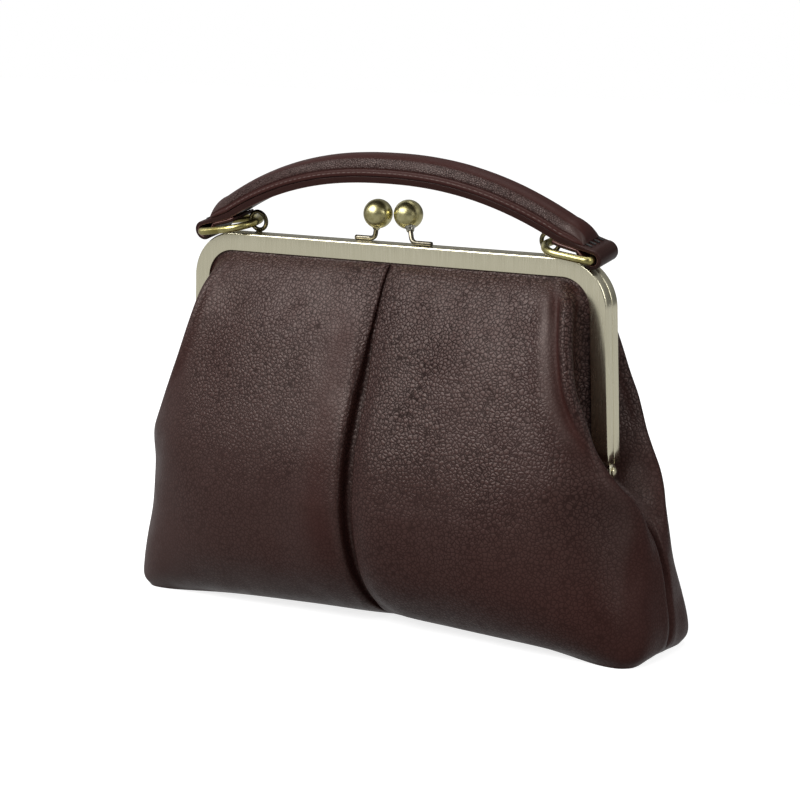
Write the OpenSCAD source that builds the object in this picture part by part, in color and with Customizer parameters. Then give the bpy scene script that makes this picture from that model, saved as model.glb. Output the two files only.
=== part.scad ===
// Kiss lock frame purse with a padded top handle, in millimetres.
// X runs along the frame, Y from front (negative) to back, Z up; the purse stands on z = 0.

/* [Frame] */
// Outer width across the top bar of the metal frame
frame_w = 250; // [248:1:252]
// Height of the top of the frame above the ground
frame_top = 194; // [193:0.5:195]
// Radius of the frame's outer top corners
corner_r = 25; // [24:0.5:26]
// Width of the frame's face, seen from the front
face_w = 9.5; // [9:0.25:10]
// Depth of one half of the frame, front to back
half_depth = 6.2; // [6:0.1:6.6]
// Outward lean of each side arm, in degrees
arm_splay = 1.8; // [1:0.1:2]
// Height of the hinge axis above the ground
hinge_z = 89.2; // [89:0.1:90]

/* [Kiss lock] */
// Diameter of each ball
ball_d = 15; // [14:0.1:15.2]
// Distance between the ball centres along the frame, more than a ball's diameter
ball_pitch = 15.4; // [15.3:0.1:16]
// Height of the ball centres above the ground
ball_z = 209; // [208.5:0.1:210]
// Diameter of the bent stem wire
stem_d = 2.6; // [2.4:0.1:2.8]

/* [Handle] */
// Height of the handle's top above the ground, before it leans
handle_top = 241.5; // [241:0.1:242.5]
// Forward lean of the handle and its rings about the eyelets, in degrees
handle_lean = 9.5; // [9:0.5:10]
// Thickness of the handle at its middle
handle_h = 13.5; // [13:0.1:14]
// Width of the handle, front to back
handle_w = 19; // [17:0.5:19]
// Thickness of the flat strap under the padding
strap_t = 3.7; // [3.4:0.1:4]
// Diameter of the metal ring wire
ring_d = 4; // [3.6:0.1:4]
// Distance from the middle of the purse to the strap's end loops
loop_x = 117.5; // [117.4:0.1:117.8]

/* [Leather] */
// Thickness of the leather
leather_t = 1.2; // [1:0.05:1.25]
// Thickness of the lining cloth
lining_t = 0.4; // [0.3:0.05:0.45]
// Depth of the pleat that runs down each face
pleat_depth = 7; // [3:0.5:9]
// Half width of the pleat at its widest
pleat_half_w = 2.6; // [1.5:0.1:3.5]

/* [Hidden] */
$fn = 48;

// Clearances
slip = 0.15;            // between pieces of one half
half_gap = 0.15;        // from each half of the frame to the plane where they meet
run_fit = 0.05;         // radial clearance of a pin that turns
loose_fit = 0.1;        // radial clearance of the ring in the strap's loop

// Frame channel
rim_t = 1.2;            // outer rim of the channel
wall_t = 1;             // front and back walls of the channel
slot_front = -(half_depth - wall_t);
slot_back = -(half_gap + wall_t);
corner_x = frame_w / 2 - corner_r;
corner_z = frame_top - corner_r;
arm_gap = 4.3;          // from the hinge axis up to the ends of the channel
arm_end = hinge_z + arm_gap;
arc_steps = 12;
cord_inset = 1.5;       // from the channel's rim to the paper cord
cord_w = 2;
cord_gap = 0.08;        // between the cord and the channel's back wall

// Hinge lugs and rivets
lug_r = 3.5;
lug_t = 1;
rivet_r = 1.25;
rivet_head_r = 2.5;
rivet_dome_h = 1.4;
rivet_rim = 0.2;
rivet_dome_steps = 5;
rivet_tail_r = 2.2;
rivet_tail_t = 0.7;
rivet_gap = 0.1;        // between the rivet's head and the lug that turns under it
outer_lug_x = 125.8;    // inner face of the front half's lug
lug_step = 0.2;         // gap between the two lugs of a hinge
inner_lug_x = outer_lug_x - lug_step - lug_t;
lug_overlap = 1;        // how far the front lug reaches into its arm
lug_neck = 7;           // the same for the rear lug, which lies deeper in the channel

// Kiss lock
lock_x = -1.7;          // the lock's centre along the frame
ball_lean = 2.35;       // how far each ball leans across the middle plane
stem_reach = 13.3;      // from the lock's centre to the bend of each stem
foot_end = 25.3;        // from the lock's centre to the end of each foot
foot_y = 3.1;
knuckle_extra = 0.12;   // how much thicker the bend is than the wire
stem_sink = 3;          // how far the stem goes into the ball
collar_h = 2.4;
collar_r = 2.9;
collar_neck_r = 1.9;
collar_sink = 0.7;      // how far the collar's wide end reaches over the ball

// Handle fittings
eyelet_x = 88.7;
eyelet_y = 2.6;
eyelet_z = 200.3;
eyelet_r = 4.9;
eyelet_wire_r = 0.95;
eyelet_foot_r = 1.5;
loop_z = 196.2;
loop_r = 5.1;
loop_wrap = 33;         // angle in degrees at which the underside of the strap meets the loop
loop_meet = 0.95;       // where the strap's faces run into the loop, as a share of its radius
ring_half_w = 11.9;
ring_corner_r = 2.3;
ring_r = ring_d / 2;

// Arch of the handle: how far its underside drops at the reference distance from the middle
arch_drop = 25.1;
arch_ref_x = 100.6;
arch_power = 2.27;
arch_join_x = 98.5;     // where the strap's folded end lies under it
tail_t = 2.6;           // thickness of that folded end
arch_steps = 12;
dome_end_x = 113;       // where the padding ends
dome_min = 1.2;         // height of the cover over the strap where it starts to rise
cover_t = 1.6;
cover_gap = 0.05;       // between the strap and what lies on it
dome_mid_h = handle_h - strap_t;
dome_join_h = 7.8;      // height of the padding over the strap at the folded end
dome_end_steps = 5;
dome_sides = 12;
core_hollow = 0.3;      // how far the underside of the padding is hollowed
core_foot = 0.8;        // width of that underside, as a share of the padding's
dome_square = 0.83;     // under 1 makes the padding fuller than an ellipse
tack_r = 0.5;
tack_l = 3;
tack_y = [-6, -2, 2, 6];

// Leather stations. Each gives a height, then the forward reach of the face at the pleat and at
// two places beside it, then x and y of the inner fold, the gusset ridge and the gusset's back,
// and last x of the side seam. The values above the hinge leave the last one unused.
reach_x = [0.36, 0.72];  // the two places beside the pleat, as shares of the inner fold's x
stations = [
    [0,     -7,    -12.5, -19.5, 132, -27,   142.5, -21,   145,   -8,  145],
    [5,     -20,   -27.5, -32.5, 136, -34,   149,   -25,   152.5, -8,  153],
    [14,    -33.5, -38.5, -42,   135, -39.5, 152.3, -25.5, 155.5, -7,  156],
    [28,    -44.5, -47.5, -48.5, 132, -41.5, 150,   -24,   154.5, -6,  155],
    [45,    -49.8, -51.2, -50.5, 129, -40.5, 148.5, -19,   153,   -5,  151],
    [62,    -51.3, -52.2, -50.5, 127, -39.5, 148.8, -15,   148.5, -5,  144.5],
    [72,    -50.6, -51.7, -49.9, 125, -39.8, 148.3, -14,   141,   -6,  136.5],
    [80,    -49.8, -51,   -49.3, 123, -40.2, 146,   -16.5, 127.5, -8,  126.5],
    [88,    -49,   -50.2, -48.6, 120, -40.5, 141,   -21.5, 114.5, -10, 122.5],
    [97,    -46,   -47.4, -46,   116, -39.5, 135.6, -25,   113.5, -11, 122.5],
    [110,   -41,   -42.8, -42,   110, -37,   128.5, -28.5, 113,   -12, 122.5],
    [130,   -31.8, -34.2, -34.6, 103, -31,   118.7, -30,   112,   -13, 122.5],
    [150,   -24,   -26.2, -26.8, 99,  -24.4, 113,   -26,   111.5, -12, 122.5],
    [165,   -17,   -18.6, -19,   97,  -18,   109.5, -20,   111.5, -10.5, 122.5],
    [175,   -12,   -13,   -13.2, 97,  -12.8, 106,   -12,   110.5, -8,  122.5],
    [181,   -8,    -8.6,  -8.6,  95,  -8.2,  102,   -7.4,  106.5, -6,  122.5],
    [184.3, -5.2,  -5.2,  -5.2,  93,  -5.2,  98,    -5.2,  101.5, -5.2, 122.5],
    [190.5, -5,    -5,    -5,    92,  -5,    97,    -5,    101,   -5,  122.5]];
split_z = 88;           // where the moving part of each leather face begins
lower_rows = [0, 4, 10, 20, 33, 47, 60, 66, 72, 77, 82, split_z];
upper_rows = [split_z, arm_end, 101, 112, 127, 142, 156, 167, 175, 181, 184.3, 190.5];
slot_reach = 7.5;       // how far the leather goes into the channel at the sides
slot_y = -5;
lip_step = 0.2;         // how far the leather stands forward of that where it enters the channel
lip_x = 0.3;            // clearance of the leather beside the channel's mouth
tuck = 1;               // least width of leather inside the channel
groove_half_w = 0.5;    // half width of the groove where the pleat has closed
floor_extra = 3;        // extra inward step of the inner face near the ground
floor_fade = 30;        // height over which that step fades out
floor_share = 0.97;     // length of the bottom seam, as a share of the ground outline's
seam_blend = 0.4;       // where the last column before the side seam stands
pleat_top = 183;
pleat_full = 120;
pleat_low = 12;

// Interpolation between the stations, a smooth curve through every value
function station_below(z, i = 0) =
    i >= len(stations) - 2 || z <= stations[i + 1][0] ? i : station_below(z, i + 1);
function station_slope(i) =
    let (a = max(i - 1, 0), b = min(i + 1, len(stations) - 1))
    (stations[b] - stations[a]) / (stations[b][0] - stations[a][0]);
function hermite(t, p, q, dp, dq) =
    p * (2 * t ^ 3 - 3 * t ^ 2 + 1) + dp * (t ^ 3 - 2 * t ^ 2 + t)
    + q * (3 * t ^ 2 - 2 * t ^ 3) + dq * (t ^ 3 - t ^ 2);
function station(z) =
    let (i = station_below(z), a = stations[i], b = stations[i + 1], h = b[0] - a[0])
    hermite((z - a[0]) / h, a, b, station_slope(i) * h, station_slope(i + 1) * h);

// Points of a smooth curve through the given points, with steps[i] pieces in its i-th stretch
function catmull(p, steps) =
    [for (i = [0 : len(steps) - 1], k = [0 : steps[i] - 1])
        let (a = p[max(i - 1, 0)], b = p[i], c = p[i + 1], d = p[min(i + 2, len(p) - 1)])
        hermite(k / steps[i], b, c, (c - a) / 2, (d - b) / 2)];

// Frame outline: x of a line that runs inside the frame's outer edge at the given inset
function arm_x(inset, z) =
    let (r = corner_r - inset)
    z > corner_z
        ? corner_x + sqrt(max(r * r - (z - corner_z) * (z - corner_z), 0))
        : corner_x + r + (corner_z - z) * tan(arm_splay);

// Leather section at one height, from the pleat to the side edge, on the right of the front
function pleat_share(z) =
    z >= pleat_top ? 0
    : z >= pleat_full ? (pleat_top - z) / (pleat_top - pleat_full)
    : z <= pleat_low ? z / pleat_low : 1;
function edge_points(z, s) =
    z >= arm_end
        ? let (edge_x = arm_x(face_w - slot_reach, z))
            [[min(arm_x(face_w, z) - lip_x, edge_x - tuck), slot_y - lip_step], [edge_x, slot_y]]
        : [[s[8] + (s[10] - s[8]) * (1 - seam_blend), s[9] * seam_blend], [s[10], 0]];
function half_section(z) =
    let (s = station(z), w = pleat_half_w * pleat_share(z), x3 = s[4])
    concat(
        [[0, s[1] + pleat_depth * pleat_share(z)]],
        catmull([[max(w, groove_half_w), s[1]], [x3 * reach_x[0], s[2]], [x3 * reach_x[1], s[3]],
            [s[4], s[5]], [s[6], s[7]], [s[8], s[9]]], [3, 3, 2, 3, 3]),
        [[s[8], s[9]]], edge_points(z, s));
function mirrored(p) = [for (i = [len(p) - 1 : -1 : 1]) [-p[i][0], p[i][1]]];
function section(z) = let (h = half_section(z)) concat(mirrored(h), h);

// The same section moved inwards; its ends stay on the seam plane or in the slot
function end_normal(z, side) = z >= arm_end ? [0, 1] : [-side, 0];
function inward(p, i, z) =
    i == 0 ? end_normal(z, -1)
    : i == len(p) - 1 ? end_normal(z, 1)
    : let (d = p[i + 1] - p[i - 1]) [-d[1], d[0]] / norm(d);
function wall_step(z, depth) = depth + floor_extra * max(0, 1 - z / floor_fade) ^ 2;
function inset_section(z, depth) =
    let (p = section(z), step = depth == 0 ? 0 : wall_step(z, depth))
    [for (i = [0 : len(p) - 1]) p[i] + inward(p, i, z) * step];

// A skin of the purse at one depth: rows of points, with the bottom seam first where it has a floor
function row_at(p, z) = [for (q = p) [q[0], q[1], z]];
function floor_row(p, z) =
    let (last = len(p) - 1, reach = p[last][0] * floor_share)
    [for (i = [0 : last]) [(2 * i / last - 1) * reach, 0, z]];
function skin(rows, depth, has_floor) =
    concat(
        has_floor ? floor_row(inset_section(rows[0], depth), depth) : [],
        [for (z = rows) each row_at(inset_section(z, depth), max(z, has_floor ? depth : z))]);

// A closed solid between two skins of n rows and m columns. The diagonals of its right half mirror
// those of its left half, so no triangle at the ends of the bottom seam is flat.
function quad(a, b, c, d, right = false) = right ? [[a, b, d], [b, c, d]] : [[a, b, c], [a, c, d]];
function skin_faces(n, m) =
    let (k = n * m)
    [for (f = concat(
        [for (j = [0 : n - 2], i = [0 : m - 2])
            quad(j * m + i, j * m + m + i, j * m + m + i + 1, j * m + i + 1, i >= (m - 1) / 2)],
        [for (j = [0 : n - 2], i = [0 : m - 2])
            quad(k + j * m + i, k + j * m + i + 1, k + j * m + m + i + 1, k + j * m + m + i,
                i >= (m - 1) / 2)],
        [for (i = [0 : m - 2]) quad(i, i + 1, k + i + 1, k + i)],
        [for (i = [0 : m - 2])
            quad(k - m + i, 2 * k - m + i, 2 * k - m + i + 1, k - m + i + 1)],
        [for (j = [0 : n - 2]) quad(j * m, k + j * m, k + j * m + m, j * m + m)],
        [for (j = [0 : n - 2])
            quad(j * m + m - 1, j * m + 2 * m - 1, k + j * m + 2 * m - 1, k + j * m + m - 1)]))
        each f];
module sheet(rows, depth, thickness, has_floor) {
    outer = skin(rows, depth, has_floor);
    inner = skin(rows, depth + thickness, has_floor);
    columns = len(section(rows[0]));
    polyhedron(concat(outer, inner), skin_faces(len(outer) / columns, columns));
}

// Leather and lining of one face, drawn on the front
module panel_lower() { sheet(lower_rows, 0, leather_t, true); }
module panel_upper() { sheet(upper_rows, 0, leather_t, false); }
module lining_lower() { sheet(lower_rows, leather_t + slip, lining_t, true); }
module lining_upper() { sheet(upper_rows, leather_t + slip, lining_t, false); }
module to_rear() { mirror([0, 1, 0]) children(); }

// The frame's arch as an outline, at an inset from its outer edge, down to the given height
function arch_side(inset, z_end) =
    let (r = corner_r - inset)
    concat(
        [for (i = [0 : arc_steps])
            let (a = 90 - i * (90 + arm_splay) / arc_steps)
            [corner_x + r * cos(a), corner_z + r * sin(a)]],
        [[corner_x + r * cos(arm_splay) + (corner_z - r * sin(arm_splay) - z_end) * tan(arm_splay),
            z_end]]);
function turned_back(p) = [for (i = [len(p) - 1 : -1 : 0]) [-p[i][0], p[i][1]]];
function arch_outline(inset, z_end) =
    let (p = arch_side(inset, z_end)) concat(turned_back(p), p);
module arch_band(outer, inner) {
    difference() {
        polygon(arch_outline(outer, arm_end));
        polygon(arch_outline(inner, arm_end - 1));
    }
}

// A flat outline in X and Z, given thickness from y_front back to y_back
module plate(y_front, y_back) {
    translate([0, y_back, 0]) rotate([90, 0, 0]) linear_extrude(y_back - y_front) children();
}
module x_cylinder(x, r, length) {
    translate([x, 0, hinge_z]) rotate([0, 90, 0]) cylinder(r = r, h = length);
}

// One half of the frame: an arch of channel with its slot inwards and a hinge lug at each end
module half_channel() {
    difference() {
        plate(-half_depth, -half_gap) arch_band(0, face_w);
        plate(slot_front, slot_back) arch_band(rim_t, face_w + 1);
    }
}
module lug(x, reach, bore_r) {
    difference() {
        union() {
            x_cylinder(x, lug_r, lug_t);
            translate([x, -lug_r, hinge_z]) cube([lug_t, lug_r - half_gap, reach]);
        }
        x_cylinder(x - 1, bore_r, lug_t + 2);
    }
}
module both_sides() {
    children();
    mirror([1, 0, 0]) children();
}
module front_frame() {
    color([0.66, 0.63, 0.52]) {
        half_channel();
        both_sides() lug(outer_lug_x, arm_end - hinge_z + lug_overlap, rivet_r + run_fit);
    }
}
module rear_frame() {
    color([0.64, 0.61, 0.5]) to_rear() {
        half_channel();
        both_sides() lug(inner_lug_x, lug_neck, rivet_r);
    }
}

// Paper cord that wedges leather and lining in the channel
module frame_cord() {
    cord_front = slot_y + leather_t + lining_t + 2 * slip;
    plate(cord_front, slot_back - cord_gap)
        arch_band(rim_t + cord_inset, rim_t + cord_inset + cord_w);
}

// Rivet with a domed head outside and a flat tail inside
module hinge_rivet_right() {
    head_x = outer_lug_x + lug_t + rivet_gap;
    tail_x = inner_lug_x - rivet_tail_t;
    color([0.7, 0.64, 0.45]) translate([0, 0, hinge_z]) rotate([0, 90, 0]) rotate_extrude()
        polygon(concat(
            [[0, tail_x], [rivet_tail_r, tail_x], [rivet_tail_r, inner_lug_x],
                [rivet_r, inner_lug_x], [rivet_r, head_x], [rivet_head_r, head_x]],
            [for (i = [1 : rivet_dome_steps])
                let (a = 90 * i / rivet_dome_steps)
                [rivet_head_r * cos(a), head_x + rivet_rim + rivet_dome_h * sin(a)]]));
}
module hinge_rivet_left() { mirror([1, 0, 0]) hinge_rivet_right(); }

// Kiss lock, drawn for the rear half's ball on the left; the front half's is the same turned round
stem_x = lock_x - stem_reach;
rear_ball_x = lock_x - ball_pitch / 2;
foot_z = frame_top + (stem_d + knuckle_extra) / 2;
stem_run = rear_ball_x - stem_x;
stem_cross = foot_y + ball_lean;
stem_rise = ball_z - foot_z;
stem_tilt = atan2(stem_cross, stem_rise);
stem_height = norm([stem_cross, stem_rise]);
stem_angle = atan2(stem_height, stem_run);
stem_length = norm([stem_height, stem_run]);
module stem_frame() {
    translate([stem_x, foot_y, foot_z]) rotate([stem_tilt, 0, 0]) children();
}
module wire_stem() {
    stem_frame() {
        translate([stem_reach - foot_end, 0, 0]) rotate([0, 90, 0])
            cylinder(d = stem_d, h = foot_end - stem_reach);
        sphere(d = stem_d + knuckle_extra);
        rotate([0, 90 - stem_angle, 0])
            cylinder(d = stem_d, h = stem_length - ball_d / 2 + stem_sink);
    }
}
module along_stem(distance) {
    stem_frame() rotate([0, 90 - stem_angle, 0]) translate([0, 0, distance]) children();
}
module lock_ball() {
    difference() {
        along_stem(stem_length) sphere(d = ball_d);
        along_stem(stem_length - ball_d)
            cylinder(r = stem_d / 2 + run_fit, h = ball_d / 2 + stem_sink + run_fit);
    }
}
module lock_collar() {
    top = stem_length - ball_d / 2 + collar_sink;
    difference() {
        along_stem(top - collar_h) cylinder(r1 = collar_neck_r, r2 = collar_r, h = collar_h);
        along_stem(top - 2 * collar_h) cylinder(r = stem_d / 2 + run_fit, h = 3 * collar_h);
        along_stem(stem_length) sphere(d = ball_d + 2 * run_fit);
    }
}
module turned() { translate([2 * lock_x, 0, 0]) rotate([0, 0, 180]) children(); }
module rear_stem() { color([0.5, 0.47, 0.33]) wire_stem(); }
module front_stem() { color([0.5, 0.47, 0.33]) turned() wire_stem(); }
module rear_ball() { color([0.58, 0.53, 0.32]) lock_ball(); }
module front_ball() { color([0.58, 0.53, 0.32]) turned() lock_ball(); }
module rear_collar() { color([0.75, 0.75, 0.72]) lock_collar(); }
module front_collar() { color([0.75, 0.75, 0.72]) turned() lock_collar(); }

// Eyelet: a wire loop on a short foot, fixed to the rear half. It leans with the handle's rings.
module eyelet_right() {
    color([0.3, 0.3, 0.24]) translate([eyelet_x, eyelet_y, 0]) {
        translate([0, 0, eyelet_z]) rotate([90 + handle_lean, 0, 0])
            rotate_extrude() translate([eyelet_r, 0]) circle(r = eyelet_wire_r, $fn = 24);
        translate([0, 0, frame_top])
            cylinder(r = eyelet_foot_r, h = eyelet_z - eyelet_r - frame_top);
    }
}
module eyelet_left() { mirror([1, 0, 0]) eyelet_right(); }

// The handle and its rings are drawn upright and then lean about the line through the eyelets
module leaned() {
    translate([0, eyelet_y, eyelet_z]) rotate([handle_lean, 0, 0])
        translate([0, -eyelet_y, -eyelet_z]) children();
}

// D-shaped ring: a straight bar in the strap's loop, two limbs and a half round in the eyelet
ring_length = norm([loop_x - eyelet_x, loop_z - eyelet_z]);
ring_slope = atan2(eyelet_z - loop_z, loop_x - eyelet_x);
module ring_right() {
    limb = ring_length - ring_half_w - ring_corner_r;
    bar = ring_half_w - ring_corner_r;
    color([0.72, 0.66, 0.3]) leaned() translate([eyelet_x, 0, eyelet_z]) rotate([0, ring_slope, 0]) {
        translate([ring_half_w, 0, 0]) rotate([0, 0, 90]) rotate_extrude(angle = 180)
            translate([ring_half_w, 0]) circle(r = ring_r, $fn = 24);
        for (s = [-1, 1]) {
            translate([ring_half_w, s * ring_half_w, 0]) rotate([0, 90, 0])
                cylinder(r = ring_r, h = limb);
            translate([ring_length - ring_corner_r, s * bar, 0]) rotate([0, 0, s > 0 ? 0 : -90])
                rotate_extrude(angle = 90) translate([ring_corner_r, 0]) circle(r = ring_r, $fn = 24);
        }
        translate([ring_length, bar, 0]) rotate([90, 0, 0]) cylinder(r = ring_r, h = 2 * bar);
    }
}
module ring_left() { mirror([1, 0, 0]) ring_right(); }

// Handle arch: height, slope and points at a distance above the underside
function arch_z(x) = handle_top - handle_h - arch_drop * (abs(x) / arch_ref_x) ^ arch_power;
function arch_slope(x) =
    -sign(x) * arch_drop * arch_power / arch_ref_x * (abs(x) / arch_ref_x) ^ (arch_power - 1);
function arch_point(x, up) =
    let (a = atan(arch_slope(x))) [x - up * sin(a), arch_z(x) + up * cos(a)];
function arch_xs(end) = [for (i = [-arch_steps : arch_steps]) end * i / arch_steps];

// Flat strap with an end loop at each side, folded back under itself and bored for the ring's bar
module strap_outline() {
    meet_r = loop_r * loop_meet;
    end = [arch_point(arch_join_x, -tail_t),
        [loop_x - meet_r * sin(loop_wrap), loop_z - meet_r * cos(loop_wrap)],
        [loop_x, loop_z + meet_r]];
    polygon(concat(
        [for (x = arch_xs(arch_join_x)) arch_point(x, 0)], end,
        [for (x = arch_xs(arch_join_x)) arch_point(-x, strap_t)], turned_back(end)));
    for (s = [-1, 1]) translate([s * loop_x, loop_z]) circle(r = loop_r);
}
module handle_strap() {
    color([0.2, 0.11, 0.1]) leaned() difference() {
        plate(-handle_w / 2, handle_w / 2) strap_outline();
        for (s = [-1, 1]) translate([s * loop_x, handle_w, loop_z]) rotate([90, 0, 0])
            cylinder(r = ring_r + loose_fit, h = 2 * handle_w);
    }
}

// Padding of the handle. A station is [base x, base z, slope in degrees, height of the dome].
strap_top_angle = atan2(loop_z + loop_r * loop_meet - arch_point(arch_join_x, strap_t)[1],
    loop_x - arch_point(arch_join_x, strap_t)[0]);
function dome_station(x) =
    let (p = arch_point(x, strap_t), share = (abs(x) / arch_join_x) ^ 2)
    [p[0], p[1], atan(arch_slope(x)), dome_mid_h + (dome_join_h - dome_mid_h) * share];
function dome_end_station(e, side) =
    let (p = arch_point(arch_join_x, strap_t), run = (dome_end_x - p[0]) * e,
        a = atan(arch_slope(arch_join_x)))
    [side * (p[0] + run), p[1] + run * tan(strap_top_angle), side * (a + (strap_top_angle - a) * e),
        max(dome_min, dome_join_h * sqrt(1 - e * e))];
dome_stations = concat(
    [for (e = [dome_end_steps : -1 : 1]) dome_end_station(e / dome_end_steps, -1)],
    [for (x = arch_xs(arch_join_x)) dome_station(x)],
    [for (e = [1 : dome_end_steps]) dome_end_station(e / dome_end_steps, 1)]);
function dome_point(st, y, h) = [st[0] - h * sin(st[2]), y, st[1] + h * cos(st[2])];
function dome_row(st, half_w, less, flat) =
    [for (i = [0 : dome_sides])
        let (a = 180 * i / dome_sides, c = cos(a), y = half_w * sign(c) * abs(c) ^ dome_square,
            h = (flat ? core_hollow : max(st[3] - less, core_hollow)) * sin(a))
        dome_point(st, y * (flat ? core_foot : 1), cover_gap + h)];
module dome(outer_w, outer_less, inner_w, inner_less, flat, trim) {
    picked = [for (i = [trim : len(dome_stations) - 1 - trim]) dome_stations[i]];
    outer = [for (st = picked) each dome_row(st, outer_w, outer_less, false)];
    inner = [for (st = picked) each dome_row(st, inner_w, inner_less, flat)];
    polyhedron(concat(outer, inner), skin_faces(len(picked), dome_sides + 1));
}
module handle_cover() {
    color([0.22, 0.12, 0.11]) leaned()
        dome(handle_w / 2, 0, handle_w / 2 - cover_t, cover_t, false, 0);
}
module handle_core() {
    core_w = handle_w / 2 - cover_t - slip;
    color([0.55, 0.5, 0.42]) leaned()
        dome(core_w, cover_t + slip, core_w, cover_t + slip, true, dome_end_steps - 1);
}

// Tack stitches across the strap where the padding ends
module handle_tacks() {
    strap_end = arch_point(arch_join_x, strap_t);
    x = dome_end_x + slip + tack_r;
    z = strap_end[1] + (x - strap_end[0]) * tan(strap_top_angle) + tack_r + cover_gap;
    color([0.08, 0.07, 0.07]) leaned() both_sides() for (y = tack_y)
        translate([x, y, z]) rotate([0, 90 - strap_top_angle, 0])
            cylinder(r = tack_r, h = tack_l, $fn = 16);
}

// Every sub-part under its own name
module front_panel_lower() { color([0.24, 0.13, 0.12]) panel_lower(); }
module rear_panel_lower() { color([0.24, 0.13, 0.12]) to_rear() panel_lower(); }
module front_lining_lower() { color([0.62, 0.52, 0.42]) lining_lower(); }
module rear_lining_lower() { color([0.62, 0.52, 0.42]) to_rear() lining_lower(); }
module front_panel_upper() { color([0.26, 0.14, 0.13]) panel_upper(); }
module rear_panel_upper() { color([0.26, 0.14, 0.13]) to_rear() panel_upper(); }
module front_lining_upper() { color([0.62, 0.52, 0.42]) lining_upper(); }
module rear_lining_upper() { color([0.62, 0.52, 0.42]) to_rear() lining_upper(); }
module front_frame_cord() { color([0.7, 0.6, 0.42]) frame_cord(); }
module rear_frame_cord() { color([0.7, 0.6, 0.42]) to_rear() frame_cord(); }

front_panel_lower();
rear_panel_lower();
front_lining_lower();
rear_lining_lower();
front_panel_upper();
rear_panel_upper();
front_lining_upper();
rear_lining_upper();
front_frame();
rear_frame();
front_frame_cord();
rear_frame_cord();
hinge_rivet_left();
hinge_rivet_right();
front_stem();
rear_stem();
front_ball();
rear_ball();
front_collar();
rear_collar();
eyelet_left();
eyelet_right();
ring_left();
ring_right();
handle_strap();
handle_core();
handle_cover();
handle_tacks();
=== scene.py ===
"""Visual model of the kiss lock frame purse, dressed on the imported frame. Lengths are in millimetres
until a mesh is made, in the axes of the CAD: X along the purse, Y to the back, Z up."""
import math

import bmesh
import bpy
import numpy as np
from mathutils import Matrix, Vector, noise


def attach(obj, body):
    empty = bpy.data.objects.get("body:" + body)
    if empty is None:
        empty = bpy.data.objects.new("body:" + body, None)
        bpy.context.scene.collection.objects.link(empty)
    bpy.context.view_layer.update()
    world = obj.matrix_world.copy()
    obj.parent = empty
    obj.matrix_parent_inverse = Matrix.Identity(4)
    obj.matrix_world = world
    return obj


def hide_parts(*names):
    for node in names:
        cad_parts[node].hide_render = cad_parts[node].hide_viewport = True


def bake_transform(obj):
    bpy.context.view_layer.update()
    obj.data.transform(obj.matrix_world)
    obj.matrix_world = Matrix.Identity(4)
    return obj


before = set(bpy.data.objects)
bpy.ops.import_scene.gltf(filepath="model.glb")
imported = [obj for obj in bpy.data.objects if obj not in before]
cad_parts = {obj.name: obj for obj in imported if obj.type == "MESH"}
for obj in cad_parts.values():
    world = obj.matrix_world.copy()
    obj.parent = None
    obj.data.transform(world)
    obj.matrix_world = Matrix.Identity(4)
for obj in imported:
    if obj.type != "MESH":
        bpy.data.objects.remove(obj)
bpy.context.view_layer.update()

MM = 0.001

# Sizes repeated from the part's source.
# Metal frame: width, height of its top, outer corner radius, width of its face
FRAME_W, FRAME_TOP, CORNER_R, FACE_W = 250.0, 194.0, 25.0, 9.5
# Depth of one half, half the gap between the halves, thickness of the rim and of the walls
HALF_DEPTH, HALF_GAP, RIM_T, WALL_T = 6.2, 0.15, 1.2, 1.0
# Spread of the arms, height of the hinges and of the channel's ends
SPLAY_DEGREES, HINGE_Z, ARM_END = 1.8, 89.2, 93.5
SPLAY = math.radians(SPLAY_DEGREES)
CORNER_X, CORNER_Z = FRAME_W / 2 - CORNER_R, FRAME_TOP - CORNER_R
# Lock: its centre, size and pitch of the balls, their height and how far each leans over the other half
LOCK_X, BALL_D, BALL_PITCH, BALL_Z, BALL_LEAN = -1.7, 15.2, 15.4, 209.0, 2.35
# Stem: thickness, distance of its bend and of its end from the lock's centre, its place in the depth
STEM_D, STEM_REACH, FOOT_END, FOOT_Y = 2.6, 13.3, 25.3, 3.1
FOOT_Z = FRAME_TOP + 1.36
# Eyelets: place, radius of the loop's middle line and of its wire
EYE_X, EYE_Y, EYE_Z, EYE_R, EYE_WIRE = 88.7, 2.6, 200.3, 4.9, 1.15
# Loops of the strap round the rings, then the rings' half width, tight corners and wire
LOOP_X, LOOP_Z, LOOP_R = 117.5, 196.2, 5.1
RING_HALF_W, RING_CORNER, RING_R = 11.9, 2.3, 2.0
HANDLE_TOP, HANDLE_H, HANDLE_W, STRAP_T = 241.5, 13.5, 19.0, 3.7
LEAN = math.radians(9.5)
# Arch of the handle: drop, distance where it has dropped so far, power of the curve, start of the loops
ARCH_DROP, ARCH_REF, ARCH_POWER, JOIN_X = 25.1, 100.6, 2.27, 98.5
DOME_END_X, TAIL_T = 113.0, 2.6
LEATHER_T, LINING_T, SLIP = 1.2, 0.4, 0.15
PLEAT_DEPTH, PLEAT_HALF_W = 7.0, 2.6

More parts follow.
